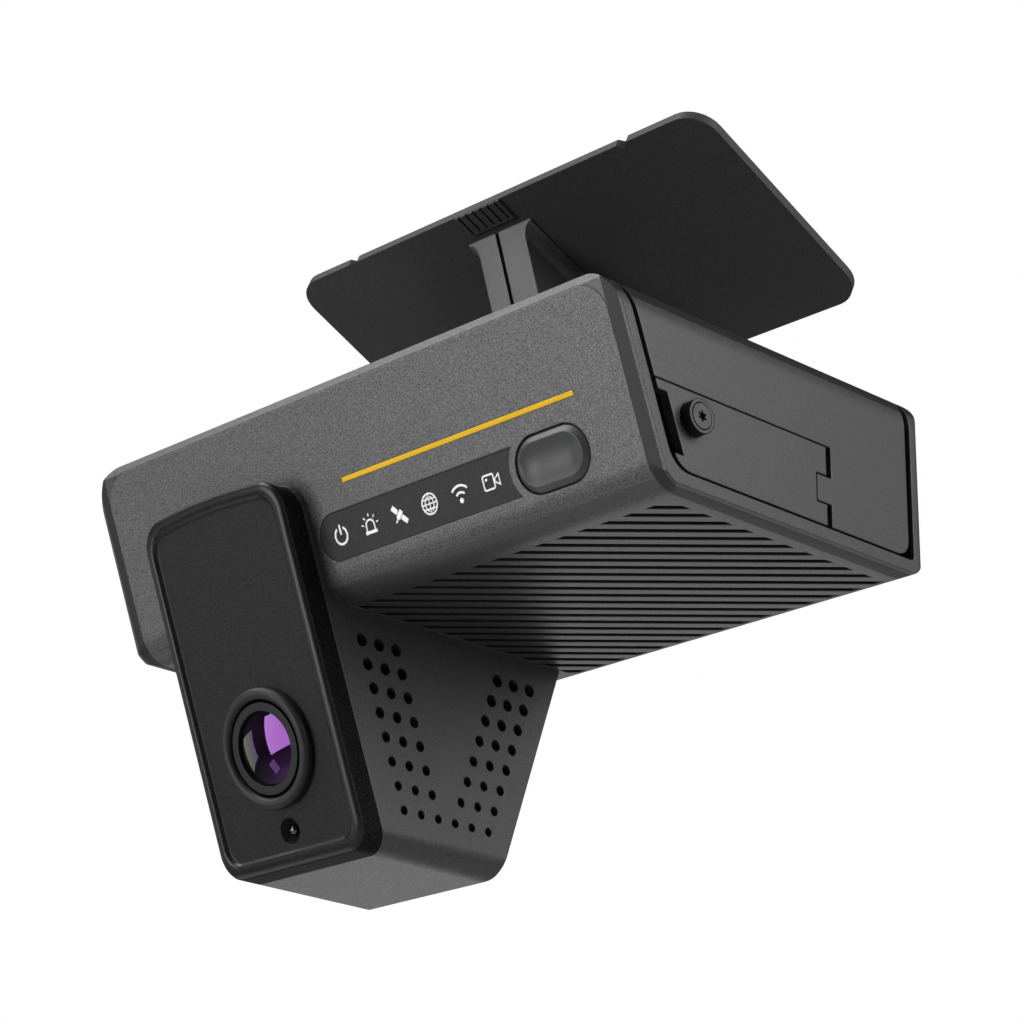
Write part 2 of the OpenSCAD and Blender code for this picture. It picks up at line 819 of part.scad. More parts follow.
// The lens parts are turned about the lens axis; profiles are radius by distance along the axis
module on_cabin_lens() {
    on_face(lens_x, lens_s) children();
}

module on_road_lens() {
    translate([0, body_d, road_z]) rotate([-90, 0, 0]) children();
}

module lens_bezel(low, high) {
    inner = barrel_r + 0.45;
    outer = barrel_r + 2.4;
    rotate_extrude()
        polygon(rounded([[inner, low], [outer, low], [outer, high], [inner, high]],
            [0, 0, 0.9, 0.9], 6));
}

module lens_barrel(back, front) {
    rotate_extrude()
        polygon([[lens_r - 1.2, back], [barrel_r, back], [barrel_r, front], [lens_r + 0.05, front],
            [lens_r + 0.05, front - 1.6], [lens_r - 1.2, front - 2.4]]);
}

// A domed front element with a shallow cone for its back
module lens_glass(back, rise) {
    ball = (lens_r * lens_r + rise * rise) / (2 * rise);
    top = back + 0.4 + rise;
    function dome_height(r) = top - ball + sqrt(ball * ball - r * r);
    radii = [for (i = [0 : 12]) lens_r * (1 - i / 12)];
    rotate_extrude() polygon(concat([[0, back]], [for (r = radii) [r, dome_height(r)]]));
}

module cabin_lens_bezel() {
    color("#1a1a1c") placed() on_cabin_lens() lens_bezel(recess_n, recess_n + 1.7);
}

module cabin_lens_barrel() {
    color("#242527") placed() on_cabin_lens() lens_barrel(-9, recess_n + 0.5);
}

module cabin_lens_ring() {
    low = recess_n + 0.5;
    high = low + 0.7;
    color("#3a3b3d") placed() on_cabin_lens() rotate_extrude()
        polygon([[lens_r + 0.05, low], [barrel_r, low], [barrel_r, high], [lens_r + 0.05, high]]);
}

module cabin_lens_glass() {
    color("#5a2f6a") placed() on_cabin_lens() lens_glass(recess_n + 0.3, 1.1);
}

module cabin_sensor_board() {
    color("#1f6b3a") placed() on_cabin_lens() {
        translate([-8.5, -9, -10.2]) cube([17, 18, 1.2]);
        translate([-3, -3, -9]) cube([6, 6, 0.9]);
    }
}

module light_sensor() {
    color("#d8d8e0") placed() on_face(lens_x - 0.1, sensor_s, seat_n + 1.2) {
        cylinder(r = 0.95, h = 1.2);
        translate([0, 0, 1.2]) sphere(r = 0.95, $fn = 24);
    }
}

module infrared_board() {
    color("#17251c") placed() on_face(0, 0, seat_n) difference() {
        translate([pod_x - 13.5, -69, 0]) cube([27, 33, 1.2]);
        translate([lens_x, -lens_s, -1]) cylinder(r = barrel_r + 0.4, h = 4);
    }
}

module infrared_leds() {
    color("#303038") placed() for (x = [-10.5, 10.5], s = [39, 44.5])
        on_face(pod_x + x, s, seat_n + 1.2) cylinder(r = 1.3, h = 1.1);
}

module speaker() {
    color("#202022") placed() translate([0, 38, -17]) rotate([0, 90, 0]) {
        translate([0, 0, pod_right - pod_wall - 1.6]) cylinder(r = 10, h = 1.6);
        translate([0, 0, pod_right - pod_wall - 3.6]) cylinder(r1 = 6, r2 = 9, h = 2);
        translate([0, 0, pod_right - pod_wall - 6]) cylinder(r = 6, h = 2.4);
    }
}

// ---- Road camera ----

module road_lens_bezel() {
    color("#1a1a1c") placed() on_road_lens() lens_bezel(0, 1.7);
}

module road_lens_barrel() {
    color("#242527") placed() on_road_lens() lens_barrel(-13.4, 1);
}

module road_lens_glass() {
    color("#2f3f6a") placed() on_road_lens() lens_glass(-0.6, 1.6);
}

module road_sensor_board() {
    color("#1f6b3a") placed() on_road_lens() {
        translate([-10, -8.2, -14.6]) cube([20, 15.5, 1.2]);
        translate([-3, -3, -13.4]) cube([6, 6, 0.9]);
    }
}

// ---- Electronics inside the body ----

module main_board() {
    color("#1f6b3a") placed() difference() {
        box([-52, 15.5, board_z], [52, 60, board_top]);
        for (x = rail_x, y = rail_y) translate([x, y, board_z - 1]) cylinder(r = 1.4, h = 4);
    }
}

module board_screws() {
    color("#8c8e91") placed() for (x = rail_x, y = rail_y) translate([x, y, 0]) difference() {
        union() {
            translate([0, 0, 5]) cylinder(r = 1.2, h = board_top - 5 + 0.2);
            translate([0, 0, board_top]) cylinder(r = 2.2, h = 1.4);
        }
        translate([0, 0, board_top + 0.7]) cylinder(r = 0.7, h = 1, $fn = 6);
    }
}

module heat_sink() {
    color("#9a9da1") placed() {
        box([-8, 20, board_z - 1.5], [34, 46, board_z]);
        for (i = [0 : 9]) box([-8 + i * 4.5, 20, 3.2], [-6.5 + i * 4.5, 46, board_z - 1.4]);
    }
}

module processor_shield() {
    color("#b4b6b8") placed() box([-6, 24, board_top], [12, 46, board_top + 2.2]);
}

module modem_module() {
    color("#9ea0a2") placed() box([14, 26, board_top], [36, 48, board_top + 2.4]);
}

module supercapacitors() {
    can_r = 5;
    color("#2c4a7a") placed() for (y = [24, 36])
        translate([-30, y, board_top + can_r + 0.05]) rotate([0, 90, 0]) cylinder(r = can_r, h = 22);
}

module satellite_antenna() {
    color("#c9b68c") placed() box([-50, 27, board_top], [-32, 45, board_top + 4]);
}

module card_socket() {
    color("#a9abad") placed() difference() {
        box([37, 24, board_top], [52.5, 38, board_top + 2]);
        box([38, 25.2, board_top + 0.5], [53, 36.8, board_top + 1.5]);
    }
}

module memory_card() {
    color("#202124") placed() box([38.6, 25.4, board_top + 0.5], [53.6, 36.4, board_top + 1.4]);
}

module sim_socket() {
    color("#a9abad") placed() difference() {
        box([37, 24, board_z - 2.2], [52.5, 39, board_z]);
        box([38, 25.2, board_z - 1.7], [53, 37.8, board_z - 0.6]);
    }
}

module sim_card() {
    color("#d8c27a") placed() box([38.6, 25.4, board_z - 1.7], [53.4, 37.6, board_z - 0.9]);
}

module power_socket() {
    color("#e4e2da") placed() difference() {
        box([-46, 57.5, board_top], [-34, body_d, board_top + 8]);
        box([-44.7, 59.5, board_top + 1.3], [-35.3, body_d + 1, board_top + 6.7]);
    }
}

// ---- Service door ----

// The door's outline seen from its side, with its finger notch and a cut-out round the housing's
// tongue
module door_outline() {
    low = skin_floor;
    difference() {
        polygon(rounded([[face_y(low, -door_front_n), low], [door_rear, low], [door_rear, door_top],
            [face_y(door_top, -door_front_n), door_top]], [4, 0, 0, 0]));
        translate([tongue_y - door_gap, tongue_low - door_gap])
            square([5, tongue_high - tongue_low + 2 * door_gap]);
        polygon([[face_y(13.9, 0), 13.9], [face_y(13.9, -door_front_n) + 1.9, 13.9],
            [face_y(5, -door_front_n) + 1.9, 5], [face_y(5, 0), 5]]);
    }
}

module hinge_pin(low, high) {
    translate([hinge_x, hinge_y, low]) cylinder(r = hinge_r, h = high - low);
}

module hinge_hole(low, high) {
    translate([hinge_x, hinge_y, low]) cylinder(r = hinge_r + running_fit, h = high - low);
}

module service_door() {
    color("#505154") placed() difference() {
        union() {
            along_x(half_w - door_t, half_w) door_outline();
            translate([half_w - 0.5, door_screw_y, door_screw_z]) rotate([0, 90, 0])
                cylinder(r = boss_r, h = boss_h + 0.5);
            hinge_pin(floor_t - 1.3, skin_floor + 0.5);
            hinge_pin(door_top - 0.5, door_top + 0.9);
        }
        translate([half_w - 5, door_screw_y, door_screw_z]) rotate([0, 90, 0]) {
            cylinder(r = 1.1, h = 10);
            translate([0, 0, 5 + boss_h - 1]) cylinder(r = 2.1, h = 5);
        }
    }
}

module door_screw() {
    top = half_w + boss_h;
    star_w = 1.7;
    color("#6e7073") placed() translate([0, door_screw_y, door_screw_z]) rotate([0, 90, 0])
        difference() {
            union() {
                translate([0, 0, half_w - 3.6]) cylinder(r = 1, h = boss_h + 2.7);
                translate([0, 0, top - 1]) cylinder(r = 1.95, h = 1.05);
            }
            for (a = [0, 60, 120])
                translate([0, 0, top]) rotate(a) cube([star_w, 0.4, 1.2], center = true);
            translate([0, 0, top - 0.6]) cylinder(r = star_w * 0.3, h = 1);
        }
}

windscreen_plate();
adhesive_pad();
bracket_arm();
arm_screws();
pivot_screw();
pivot_nut();
lower_housing();
upper_housing();
case_screws();
front_fascia();
accent_line();
status_window();
status_symbols();
push_button();
tactile_switch();
control_board();
status_leds();
pod_front_panel();
cabin_lens_bezel();
cabin_lens_barrel();
cabin_lens_ring();
cabin_lens_glass();
cabin_sensor_board();
light_sensor();
infrared_board();
infrared_leds();
speaker();
road_lens_bezel();
road_lens_barrel();
road_lens_glass();
road_sensor_board();
main_board();
board_screws();
heat_sink();
processor_shield();
modem_module();
supercapacitors();
satellite_antenna();
card_socket();
memory_card();
sim_socket();
sim_card();
power_socket();
service_door();
door_screw();
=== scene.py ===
"""Looks of the windscreen dash camera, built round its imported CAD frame.

Lengths in the small helpers are in millimetres and in the body's own coordinates, as in part.scad: 0 is
the middle of the body's width, the plane of its front top edge and the level of its underside. at() turns
them into the frame.
"""

import json
import math

import bmesh
import bpy
from mathutils import Matrix, Vector


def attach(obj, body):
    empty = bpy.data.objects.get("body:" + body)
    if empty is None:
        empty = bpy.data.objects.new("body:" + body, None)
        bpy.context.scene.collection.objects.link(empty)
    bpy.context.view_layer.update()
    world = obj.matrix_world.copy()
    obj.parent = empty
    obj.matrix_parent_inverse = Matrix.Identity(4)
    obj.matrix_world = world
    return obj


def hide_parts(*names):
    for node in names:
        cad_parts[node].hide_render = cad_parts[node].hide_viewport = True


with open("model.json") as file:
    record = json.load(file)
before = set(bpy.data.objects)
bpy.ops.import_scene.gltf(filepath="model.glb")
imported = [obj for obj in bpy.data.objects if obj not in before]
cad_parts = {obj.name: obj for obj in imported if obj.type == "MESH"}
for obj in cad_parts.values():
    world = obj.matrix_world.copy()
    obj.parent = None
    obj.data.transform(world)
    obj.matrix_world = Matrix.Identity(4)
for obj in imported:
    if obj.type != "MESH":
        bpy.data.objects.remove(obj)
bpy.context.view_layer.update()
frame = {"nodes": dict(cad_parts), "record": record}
NODES = frame["nodes"]

MM = 0.001

# The body: its height, the lean of its front face, and how far that face's foot stands back
BODY_H = 30.6
FACE_SETBACK = 11.7
FACE_TILT = math.atan(FACE_SETBACK / BODY_H)

# The windscreen plate: the middle of its near edge, its slope, its depth, and the pad on it
PLATE_TILT = math.radians(25)
PLATE_EDGE = Vector((0.9, 32.3, 72.3))
PLATE_D = 44
PAD_T = 0.9

# The pod and its black panel; n is a distance out of the front face, s one down its slope
POD_X = -29
POD_W = 34
POD_DROP = 38
POD_R = 4
PANEL_N = 5.2
RECESS_N = 4.6
PANEL_TOP_S = 11.3
PANEL_TOP_R = 5
PANEL_ARCH = 0.5
HOLE_FLOOR_N = 3.4
LENS_HOLE_R = 7.9
SENSOR_HOLE_R = 1.1

# The lens and the light sensor on the front face, as (x, s)
LENS = (-28.5, 52.6)
SENSOR = (-28.6, 66.1)

# The screw on the side: its boss as (y, z), the boss's radius, and the floor of the screw's recess
BOSS = (16.8, 11.1)
BOSS_R = 2.65
SIDE_X = 60
SCREW_RECESS_X = 61.9

# The smooth band round each end of the body, painted dark as shade, from the body's middle
BAND_FROM = 57.3
BAND_TO = 59.4

# Grain of the textured plastic, in repeats per metre
SPARKLE_SCALE = 4200

# The plate's own axes: down its slope, and out of its upper face
SLOPE = Vector((0, math.cos(PLATE_TILT), -math.sin(PLATE_TILT)))
PLATE_UP = Vector((0, math.sin(PLATE_TILT), math.cos(PLATE_TILT)))
ORIGIN = PLATE_EDGE + SLOPE * (PLATE_D / 2) + PLATE_UP * PAD_T

# The front face's own axes: down its slope, and out of it
FACE_DOWN = Vector((0, math.sin(FACE_TILT), -math.cos(FACE_TILT)))
FACE_OUT = Vector((0, -math.cos(FACE_TILT), -math.sin(FACE_TILT)))


def at(x, y, z):
    """A point of the body's coordinates in the frame, in metres."""
    return (Vector((x, y, z)) - ORIGIN) * MM


def on_face(x, s, n):
    """A point x across the front face, s down its slope and n out of it."""
    return (Vector((x, 0, BODY_H)) + FACE_DOWN * s + FACE_OUT * n - ORIGIN) * MM


def face_height(n):
    """Where the plane n out of the front face lies, measured along its normal from the frame's origin."""
    return on_face(0, 0, n).dot(FACE_OUT)


# ---- Mesh code ----


def arc(centre, r, a0, a1, steps=12):
    """Points of an arc, with angles in degrees."""
    turns = [math.radians(a0 + (a1 - a0) * i / steps) for i in range(steps + 1)]
    return [(centre[0] + r * math.cos(t), centre[1] + r * math.sin(t)) for t in turns]


def mesh_object(name, bm, smooth_angle=30):
    """Turns a bmesh into an object, smooth where its faces meet at less than smooth_angle."""
    bmesh.ops.recalc_face_normals(bm, faces=bm.faces)
    mesh = bpy.data.meshes.new(name)
    bm.to_mesh(mesh)
    bm.free()
    mesh.shade_smooth()
    mesh.set_sharp_from_angle(angle=math.radians(smooth_angle))
    obj = bpy.data.objects.new(name, mesh)
    bpy.context.scene.collection.objects.link(obj)
    return obj


def loft(name, rings, smooth_angle=30):
    """A closed solid through rings of points, all of one length, with its first and last ring capped."""
    bm = bmesh.new()
    made = [[bm.verts.new(p) for p in ring] for ring in rings]
    count = len(rings[0])
    for low, high in zip(made, made[1:]):
        for i in range(count):
            j = (i + 1) % count
            bm.faces.new((low[i], low[j], high[j], high[i]))
    bm.faces.new(made[0])
    bm.faces.new(made[-1])
    return mesh_object(name, bm, smooth_angle)


def lathe(name, place, profile, steps=128):
    """A solid turned from a closed profile of (radius, height); place(u, v, h) gives a point of the frame."""
    bm = bmesh.new()
    rings = []
    for r, h in profile:
        if r < 1e-6:
            rings.append([bm.verts.new(place(0, 0, h))])
            continue
        turns = [math.tau * i / steps for i in range(steps)]
        rings.append([bm.verts.new(place(r * math.cos(t), r * math.sin(t), h)) for t in turns])
    for low, high in zip(rings, rings[1:] + rings[:1]):
        if len(low) == 1 and len(high) == 1:
            continue
        for i in range(steps):
            j = (i + 1) % steps
            corners = [low[i % len(low)], low[j % len(low)], high[j % len(high)], high[i % len(high)]]
            bm.faces.new(list(dict.fromkeys(corners)))
    return mesh_object(name, bm)


def cut(obj, *cutters):
    """Cuts the cutters out of obj and removes them."""
    for cutter in cutters:
        modifier = obj.modifiers.new("cut", "BOOLEAN")
        modifier.operation = "DIFFERENCE"
        modifier.solver = "EXACT"
        modifier.object = cutter
    graph = bpy.context.evaluated_depsgraph_get()
    made = bpy.data.meshes.new_from_object(obj.evaluated_get(graph))
    obj.modifiers.clear()
    obj.data = made
    made.shade_smooth()
    made.set_sharp_from_angle(angle=math.radians(30))
    for cutter in cutters:
        bpy.data.objects.remove(cutter)


def keep_flats_flat(obj):
    """Lets the large faces set the shading, so that flat areas beside rounded edges stay flat."""
    flat = obj.modifiers.new("flat_faces", "WEIGHTED_NORMAL")
    flat.weight = 100
    flat.keep_sharp = True


# ---- Materials ----


class Maker:
    """A material being made: its node tree, its shader, and short ways to add nodes."""

    def __init__(self, name, **sockets):
        self.material = bpy.data.materials.new(name)
        self.material.use_nodes = True
        self.tree = self.material.node_tree
        self.shader = self.tree.nodes["Principled BSDF"]
        for key, value in sockets.items():
            self.shader.inputs[key.replace("_", " ")].default_value = value
        self.coords = self.node("ShaderNodeTexCoord").outputs["Object"]

    def node(self, kind, **settings):
        """A new node with its settings."""
        made = self.tree.nodes.new(kind)
        for key, value in settings.items():
            setattr(made, key, value)
        return made

    def link(self, source, target):
        self.tree.links.new(source, target)

    def noise(self, scale, detail=2.0, roughness=0.5, stretch=None):
        """Noise with a scale in repeats per metre, on coordinates multiplied by stretch."""
        made = self.node("ShaderNodeTexNoise")
        made.inputs["Scale"].default_value = scale
        made.inputs["Detail"].default_value = detail
        made.inputs["Roughness"].default_value = roughness
        self.link(self.stretched(stretch) if stretch else self.coords, made.inputs["Vector"])
        return made.outputs["Fac"]

    def stretched(self, stretch):
        """The coordinates, each multiplied by its number in stretch."""
        made = self.node("ShaderNodeMapping")
        made.inputs["Scale"].default_value = stretch
        self.link(self.coords, made.inputs["Vector"])
        return made.outputs["Vector"]

    def ramp(self, source, low, high, start, end):
        """Turns source from start to end into low to high, where low and high are colours or numbers."""
        if isinstance(low, tuple):
            made = self.node("ShaderNodeValToRGB")
            made.color_ramp.elements[0].position = start
            made.color_ramp.elements[0].color = (*low, 1)
            made.color_ramp.elements[1].position = end
            made.color_ramp.elements[1].color = (*high, 1)
            self.link(source, made.inputs["Fac"])
            return made.outputs["Color"]
        made = self.node("ShaderNodeMapRange")
        for key, value in (("From Min", start), ("From Max", end), ("To Min", low), ("To Max", high)):
            made.inputs[key].default_value = value
        self.link(source, made.inputs["Value"])
        return made.outputs["Result"]

    def mix(self, factor, a, b):
        """Mixes colours a and b, where each is a socket or a colour."""
        made = self.node("ShaderNodeMix", data_type="RGBA")
        for key, value in ((0, factor), (6, a), (7, b)):
            if isinstance(value, bpy.types.NodeSocket):
                self.link(value, made.inputs[key])
            else:
                made.inputs[key].default_value = (*value, 1) if isinstance(value, tuple) else value
        return made.outputs[2]

    def maths(self, operation, a, b):
        """A sum on a and b, where each is a socket or a number."""
        made = self.node("ShaderNodeMath", operation=operation)
        for key, value in ((0, a), (1, b)):
            if isinstance(value, bpy.types.NodeSocket):
                self.link(value, made.inputs[key])
            else:
                made.inputs[key].default_value = value
        return made.outputs[0]

    def axis(self, name):
        """One coordinate of the surface in the frame, in metres."""
        made = self.node("ShaderNodeSeparateXYZ")
        self.link(self.coords, made.inputs[0])
        return made.outputs[name]

    def set(self, key, source):
        """Feeds a socket of the shader from source."""
        self.link(source, self.shader.inputs[key])

    def bump(self, height, distance, strength=1.0, edge=0.0):
        """Bumps the surface by height, over edges rounded to radius edge."""
        made = self.node("ShaderNodeBump")
        made.inputs["Distance"].default_value = distance
        made.inputs["Strength"].default_value = strength
        self.link(height, made.inputs["Height"])
        if edge:
            bevel = self.node("ShaderNodeBevel", samples=6)
            bevel.inputs["Radius"].default_value = edge
            self.link(bevel.outputs["Normal"], made.inputs["Normal"])
        self.set("Normal", made.outputs["Normal"])

    def step(self, source, edge, soft=0.00004):
        """1 where source is above edge, given in metres in the frame, and 0 where it is below."""
        return self.ramp(source, 0.0, 1.0, edge - soft, edge + soft)

    def below(self, source, edge):
        """1 where source is below edge, and 0 where it is above."""
        return self.maths("SUBTRACT", 1.0, self.step(source, edge))

    def between(self, source, low, high):
        """1 where source lies from low to high, and 0 elsewhere."""
        return self.maths("SUBTRACT", self.step(source, low), self.step(source, high))

    def all_of(self, *masks):
        """1 where every mask is 1."""
        product = masks[0]
        for mask in masks[1:]:
            product = self.maths("MULTIPLY", product, mask)
        return product


def moulded(name, colour, rough=0.5, grain=2600, depth=0.00002, vary=0.12, edge=0.0003, **sockets):
    """A moulded plastic: a fine eroded grain, a slightly uneven gloss, and softened edges."""
    m = Maker(name, **sockets)
    light = tuple(c * (1 + vary) for c in colour)
    dark = tuple(c * (1 - vary) for c in colour)
    fine = m.noise(grain, 3, 0.6)
    m.set("Base Color", m.ramp(fine, dark, light, 0.3, 0.7))
    m.set("Roughness", m.ramp(m.noise(90, 3), rough - 0.05, rough + 0.05, 0.3, 0.7))
    m.bump(fine, depth, 0.6, edge)
    return m.material


def metal(name, colour, rough=0.3, brushed=None, edge=0.0001):
    """A metal with a fine grain; brushed stretches the grain into lines."""
    m = Maker(name, Metallic=1.0)
    streaks = m.noise(1500, 3, 0.6, brushed)
    m.set("Base Color", m.ramp(streaks, tuple(c * 0.8 for c in colour), colour, 0.3, 0.7))
    m.set("Roughness", m.ramp(streaks, rough - 0.06, rough + 0.1, 0.3, 0.7))
    m.bump(streaks, 0.00001, 0.5, edge)
    return m.material


def textured_plastic(name, low, high, rough, depth):
    """The body's plastic: a fine speckled texture that runs from low to high in brightness."""
    m = Maker(name, IOR=1.5)
    fine = m.noise(SPARKLE_SCALE, 2, 0.6)
    m.set("Base Color", m.ramp(fine, (low,) * 3, (high, high, high * 1.05), 0.32, 0.68))
    m.set("Roughness", m.ramp(fine, rough + 0.1, rough - 0.06, 0.32, 0.68))
    m.bump(fine, depth, 0.7, 0.0003)
    return m


def darken(m, mask, colour, rough, shine):
    """Turns the masked part of a material darker, with its own roughness and shine: painted shade in the vent
    slots, the end band and the screw's star recess, and the black wall round the door's boss.
    """
    base = m.shader.inputs["Base Color"].links[0].from_socket
    gloss = m.shader.inputs["Roughness"].links[0].from_socket
    blend = m.node("ShaderNodeMix", data_type="FLOAT")
    m.link(mask, blend.inputs[0])
    m.link(gloss, blend.inputs[2])
    blend.inputs[3].default_value = rough
    m.set("Base Color", m.mix(mask, base, colour))
    m.set("Roughness", blend.outputs[0])
    m.set("Specular IOR Level", m.ramp(mask, 0.5, shine, 0.0, 1.0))


def housing_material():
    """The body's plastic, with painted shade: the smooth band at each end painted dark, and the walls inside
    the vent slots painted black.
    """
    m = textured_plastic("housing_grey", 0.015, 0.052, 0.4, 0.00003)
    # Painted shade: the walls inside the vent slots are made black
    painted_vent_shade = m.all_of(
        m.between(m.axis("X"), at(-11.8, 0, 0).x, at(55.6, 0, 0).x),
        m.between(m.axis("Y"), at(0, 16.8, 0).y, at(0, 66.5, 0).y),
        m.between(m.axis("Z"), at(0, 0, 0.1).z, at(0, 0, 2.6).z),
    )
    # Painted shade: the smooth band at each end of the body is made dark
    across = m.maths("ABSOLUTE", m.maths("SUBTRACT", m.axis("X"), at(0, 0, 0).x), 0.0)
    painted_band_shade = m.between(across, BAND_FROM * MM, BAND_TO * MM)
    darken(m, m.maths("MAXIMUM", painted_vent_shade, painted_band_shade), (0.01, 0.01, 0.01), 0.5, 0.3)
    return m.material


def door_material():
    """The door's plastic, with a black wall round the boss of its screw."""
    m = textured_plastic("door_grey", 0.015, 0.052, 0.4, 0.00003)
    across = m.maths("SUBTRACT", m.axis("Y"), at(0, BOSS[0], 0).y)
    up = m.maths("SUBTRACT", m.axis("Z"), at(0, 0, BOSS[1]).z)
    reach = m.maths("SQRT", m.maths("ADD", m.maths("POWER", across, 2.0), m.maths("POWER", up, 2.0)), 0.0)
    outer_rim = m.step(reach, (BOSS_R - 0.1) * MM)
    wall = m.all_of(outer_rim, m.step(m.axis("X"), at(SIDE_X + 0.05, 0, 0).x))
    darken(m, wall, (0.004, 0.004, 0.004), 0.5, 0.2)
    return m.material


def screw_material():
    """A dark screw, with the star recess in its head painted black as shade."""
    m = Maker("screw_grey", IOR=1.5)
    streaks = m.noise(1500, 3, 0.6)
    m.set("Base Color", m.ramp(streaks, (0.03, 0.03, 0.031), (0.042, 0.042, 0.044), 0.3, 0.7))
    m.set("Roughness", m.ramp(streaks, 0.35, 0.45, 0.3, 0.7))
    m.bump(streaks, 0.00001, 0.5, 0.0001)
    # Painted shade: everything below the rim of the star recess is made black
    darken(m, m.below(m.axis("X"), at(SCREW_RECESS_X, 0, 0).x), (0.002, 0.002, 0.002), 0.6, 0.1)
    return m.material


def fascia_material():
    """The same texture on the front, with a stronger sparkle, and a little lighter as painted light on the
    front face.
    """
    # Painted light: the lighter tone stands in for the light on the front face; the stronger sparkle is the
    # texture's own
    return textured_plastic("fascia_grey", 0.006, 0.115, 0.37, 0.00007).material


def panel_material():
    """The pod's black panel: a matt grained face inside a glossier rim, and dull sides."""
    m = Maker("panel_black", IOR=1.5)
    fine = m.noise(SPARKLE_SCALE, 2, 0.6)
    down = m.maths("MULTIPLY", m.axis("Y"), -math.cos(FACE_TILT))
    out = m.maths("SUBTRACT", down, m.maths("MULTIPLY", m.axis("Z"), math.sin(FACE_TILT)))
    rim = m.step(out, face_height(RECESS_N + 0.06))
    side = m.below(out, face_height(RECESS_N - 0.06))
    m.set("Base Color", m.ramp(fine, (0.002, 0.002, 0.002), (0.018, 0.018, 0.019), 0.35, 0.65))
    m.set("Roughness", m.ramp(rim, 0.42, 0.3, 0.0, 1.0))
    shine = m.ramp(rim, 0.16, 0.24, 0.0, 1.0)
    m.set("Specular IOR Level", m.maths("SUBTRACT", shine, m.maths("MULTIPLY", side, 0.15)))
    m.bump(fine, 0.00002, 0.6, 0.0)
    return m.material


def glass_material(name, tint, left_tint, x):
    """Coated glass in front of black: its reflections are tinted, with another tint to the left of x."""
    m = Maker(name, IOR=1.9)
    m.set("Base Color", m.ramp(m.noise(300, 2), (0.003, 0.002, 0.004), (0.006, 0.003, 0.008), 0.3, 0.7))
    m.set("Specular Tint", m.mix(m.step(m.axis("X"), at(x, 0, 0).x, 0.0012), left_tint, tint))
    m.set("Roughness", m.ramp(m.noise(400, 2), 0.02, 0.05, 0.3, 0.7))
    return m.material


# One material for each material slot of the record
MATERIALS = {
    "plate_black": moulded("plate_black", (0.036, 0.036, 0.037), 0.5, 1800, 0.00003, Specular_IOR_Level=0.16),
    "adhesive_foam": moulded("adhesive_foam", (0.03, 0.03, 0.032), 0.9, 1200, 0.0001),
    "arm_grey": moulded("arm_grey", (0.056, 0.057, 0.059), 0.4, 2200, Specular_IOR_Level=0.6),
    "screw_grey": screw_material(),
    "steel_screw": metal("steel_screw", (0.42, 0.43, 0.44), 0.34),
    "black_screw": metal("black_screw", (0.05, 0.05, 0.055), 0.4),
    "housing_grey": housing_material(),
    "door_grey": door_material(),
    "fascia_grey": fascia_material(),
    "accent_yellow": moulded(
        "accent_yellow", (0.76, 0.45, 0.013), 0.5, 2600, 0.000005, 0.05, Specular_IOR_Level=0.12),
    "window_grey": moulded(
        "window_grey", (0.033, 0.033, 0.035), 0.5, 3000, 0.00001, 0.25, Specular_IOR_Level=0.12),
    "symbol_white": moulded("symbol_white", (0.95, 0.95, 0.95), 0.5, 3000, 0.000005, 0.04),
    "button_grey": moulded(
        "button_grey", (0.046, 0.047, 0.049), 0.42, 2800, 0.00002, Specular_IOR_Level=0.38),
    "component_black": moulded("component_black", (0.015, 0.015, 0.016), 0.6),
    "board_green": moulded("board_green", (0.012, 0.085, 0.03), 0.35, 700, 0.00002, 0.3),
    "led_cream": moulded("led_cream", (0.7, 0.68, 0.55), 0.3),
    "panel_black": panel_material(),
    "lens_metal": moulded("lens_metal", (0.014, 0.014, 0.015), 0.5, 3000, 0.00001, Specular_IOR_Level=0.28),
    "lens_ring": moulded("lens_ring", (0.012, 0.012, 0.013), 0.5, 3000, 0.00001, Specular_IOR_Level=0.2),
    "lens_glass": glass_material("lens_glass", (0.62, 0.2, 0.9), (0.3, 0.5, 0.12), LENS[0] - 2.6),
    "sensor_clear": glass_material("sensor_clear", (0.9, 0.9, 1.0), (0.9, 0.9, 1.0), SENSOR[0]),
    "led_dark": moulded("led_dark", (0.02, 0.015, 0.025), 0.15),
    "speaker_black": moulded("speaker_black", (0.012, 0.012, 0.013), 0.7),
    "board_black": moulded("board_black", (0.012, 0.014, 0.013), 0.4),
    "heat_black": metal("heat_black", (0.03, 0.03, 0.032), 0.5, (1, 0.05, 1)),
    "shield_tin": metal("shield_tin", (0.5, 0.51, 0.5), 0.35),
    "capacitor_blue": moulded("capacitor_blue", (0.02, 0.05, 0.16), 0.3),
    "antenna_ceramic": moulded("antenna_ceramic", (0.42, 0.34, 0.2), 0.6),
    "socket_cream": moulded("socket_cream", (0.55, 0.53, 0.48), 0.5),
    "card_black": moulded("card_black", (0.014, 0.014, 0.015), 0.5),
    "card_gold": moulded("card_gold", (0.5, 0.38, 0.13), 0.4),
}


def dress(obj, slot, body):
    """Gives a new piece its material and its body."""
    obj.data.materials.clear()
    obj.data.materials.append(MATERIALS[slot])
    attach(obj, body)


def dress_nodes():
    """Puts the materials on the CAD nodes, and smooths the shading where small facets make up a curve."""
    slots = {row["node"]: row["material_slot"] for row in frame["record"]["subparts"]}
    for name, obj in NODES.items():
        for s in obj.material_slots:
            s.material = MATERIALS[slots[name]]
        mesh = obj.data
        if "custom_normal" in mesh.attributes:
            mesh.attributes.remove(mesh.attributes["custom_normal"])
        mesh.shade_smooth()
        weld = obj.modifiers.new("weld", "WELD")
        weld.merge_threshold = 2e-6
        split = obj.modifiers.new("sharp_edges", "EDGE_SPLIT")
        split.split_angle = math.radians(24)
        keep_flats_flat(obj)


